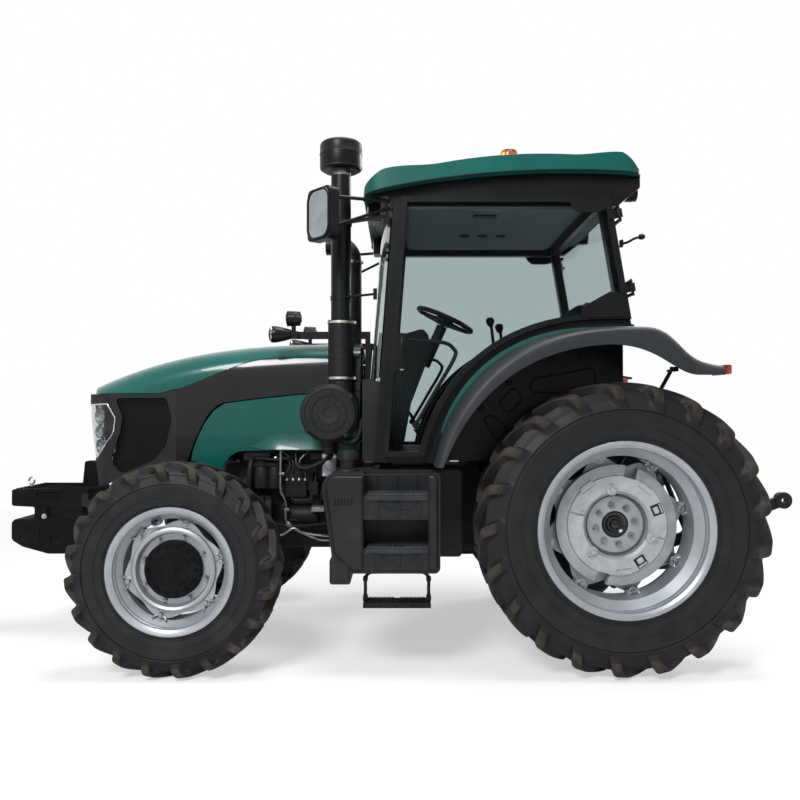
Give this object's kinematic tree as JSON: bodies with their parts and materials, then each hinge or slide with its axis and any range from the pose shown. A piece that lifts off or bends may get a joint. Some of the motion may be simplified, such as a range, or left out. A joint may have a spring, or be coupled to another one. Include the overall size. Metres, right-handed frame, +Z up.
{
  "type": "farm tractor",
  "caption": "Four-wheel-drive farm tractor with an enclosed cab, lifting bonnet, front weights, steered front axle and a rear three-point hitch.",
  "frame": {"origin": "on the ground, midway along the machine and on its centre plane", "axes": "+X forward, +Y to the driver's left, +Z up"},
  "size_m": [4.6399, 2.12, 2.925],
  "materials": {
    "green_paint": "gloss",
    "black_paint": "satin",
    "black_steel": "satin",
    "black_plastic": "grained",
    "green_plastic": "gloss",
    "grey_plastic": "grained",
    "gloss_black": "gloss",
    "glass": "clear",
    "lamp": "clear",
    "amber": "clear",
    "silver_paint": "satin",
    "tyre": "matte",
    "cast_weight": "painted",
    "fabric": "woven",
    "bare_steel": "satin"
  },
  "bodies": {
    "chassis": {"front_support": "black_paint", "front_weights": "black_paint", "engine": "black_paint", "radiator": "black_plastic", "transmission": "black_paint", "rear_axle": "black_paint", "front_axle": "black_paint", "engine_side_panels": "green_paint", "cab_frame": "black_steel", "cab_floor": "black_steel", "windscreen": "glass", "roof_liner": "black_plastic", "roof": "green_plastic", "fenders": "green_paint", "fender_flares": "grey_plastic", "fuel_tank": "black_plastic", "right_step_box": "black_plastic", "hanging_steps": "black_steel", "air_intake": "black_plastic", "exhaust": "black_steel", "mirrors": "black_plastic", "front_indicators": "black_plastic", "beacon": "amber", "work_lamps": "black_plastic", "seat": "fabric", "dash_console": "black_plastic", "control_console": "black_plastic", "drawbar": "black_steel", "rear_window": "glass", "fender_stays": "black_steel", "rear_lamps": "lamp"},
    "bonnet": {"bonnet": "green_paint", "bonnet_bands": "gloss_black", "grille": "gloss_black", "grille_mesh": "black_plastic", "headlamps": "lamp"},
    "left_door": {"left_door": "black_steel", "left_door_glass": "glass"},
    "right_door": {"right_door": "black_steel", "right_door_glass": "glass"},
    "steering_wheel": {"steering_wheel": "black_plastic"},
    "left_knuckle": {"left_knuckle": "black_paint"},
    "right_knuckle": {"right_knuckle": "black_paint"},
    "tie_rod": {"tie_rod": "black_steel"},
    "left_front_wheel": {"left_front_tyre": "tyre", "left_front_wheel": "silver_paint", "left_front_hub": "black_paint"},
    "right_front_wheel": {"right_front_tyre": "tyre", "right_front_wheel": "silver_paint", "right_front_hub": "black_paint"},
    "left_rear_wheel": {"left_rear_tyre": "tyre", "left_rear_wheel": "silver_paint", "left_wheel_weight": "cast_weight"},
    "right_rear_wheel": {"right_rear_tyre": "tyre", "right_rear_wheel": "silver_paint", "right_wheel_weight": "cast_weight"},
    "lower_links": {"lower_links": "black_steel"},
    "lift_arms": {"lift_arms": "black_steel"},
    "lift_rods": {"lift_rods": "black_steel"}
  },
  "joints": [
    {"name": "left_steer", "type": "hinge", "parent": "chassis", "child": "left_knuckle", "pos_m": [1.125, 0.69, 0.555], "axis": [0, 0, 1], "range_deg": [-40, 40]},
    {"name": "right_steer", "type": "hinge", "parent": "chassis", "child": "right_knuckle", "pos_m": [1.125, -0.69, 0.555], "axis": [0, 0, 1], "range_deg": [-40, 40]},
    {"name": "tie_rod_swing", "type": "hinge", "parent": "left_knuckle", "child": "tie_rod", "pos_m": [0.91, 0.69, 0.386], "axis": [0, 0, 1], "range_deg": [-40, 40]},
    {"name": "steering_wheel_turn", "type": "hinge", "parent": "chassis", "child": "steering_wheel", "pos_m": [-0.333, 0, 1.953], "axis": [-0.4067, 0, 0.9135], "range_deg": [-600, 600]},
    {"name": "left_front_wheel_spin", "type": "hinge", "parent": "left_knuckle", "child": "left_front_wheel", "pos_m": [1.125, 0.89, 0.555], "axis": [0, 1, 0], "continuous": true},
    {"name": "left_rear_wheel_spin", "type": "hinge", "parent": "chassis", "child": "left_rear_wheel", "pos_m": [-1.205, 0.84, 0.765], "axis": [0, 1, 0], "continuous": true},
    {"name": "right_front_wheel_spin", "type": "hinge", "parent": "right_knuckle", "child": "right_front_wheel", "pos_m": [1.125, -0.89, 0.555], "axis": [0, 1, 0], "continuous": true},
    {"name": "right_rear_wheel_spin", "type": "hinge", "parent": "chassis", "child": "right_rear_wheel", "pos_m": [-1.205, -0.84, 0.765], "axis": [0, 1, 0], "continuous": true},
    {"name": "left_door_swing", "type": "hinge", "parent": "chassis", "child": "left_door", "pos_m": [-1.2621, 0.81, 2.24], "axis": [0.1668, 0, 0.986], "range_deg": [0, 75]},
    {"name": "right_door_swing", "type": "hinge", "parent": "chassis", "child": "right_door", "pos_m": [-1.2621, -0.81, 2.24], "axis": [-0.1668, 0, -0.986], "range_deg": [0, 75]},
    {"name": "bonnet_lift", "type": "hinge", "parent": "chassis", "child": "bonnet", "pos_m": [0.217, 0, 1.715], "axis": [0, -1, 0], "range_deg": [0, 50]},
    {"name": "lower_links_drop", "type": "hinge", "parent": "chassis", "child": "lower_links", "pos_m": [-1.33, 0, 0.48], "axis": [0, -1, 0], "range_deg": [0, 35]},
    {"name": "lift_arms_drop", "type": "hinge", "parent": "chassis", "child": "lift_arms", "pos_m": [-1.29, 0, 0.98], "axis": [0, -1, 0], "range_deg": [0, 48.9]},
    {"name": "lift_rods_swing", "type": "hinge", "parent": "lift_arms", "child": "lift_rods", "pos_m": [-1.56167, 0, 1.1491], "axis": [0, -1, 0], "range_deg": [-46.66, 0]}
  ],
  "couplings": [
    {"joint": "right_steer", "follows": "left_steer", "ratio": 1},
    {"joint": "tie_rod_swing", "follows": "left_steer", "ratio": -1},
    {"joint": "steering_wheel_turn", "follows": "left_steer", "ratio": 15},
    {"joint": "lift_arms_drop", "follows": "lower_links_drop", "ratio": 1.397},
    {"joint": "lift_rods_swing", "follows": "lower_links_drop", "ratio": -1.333}
  ]
}
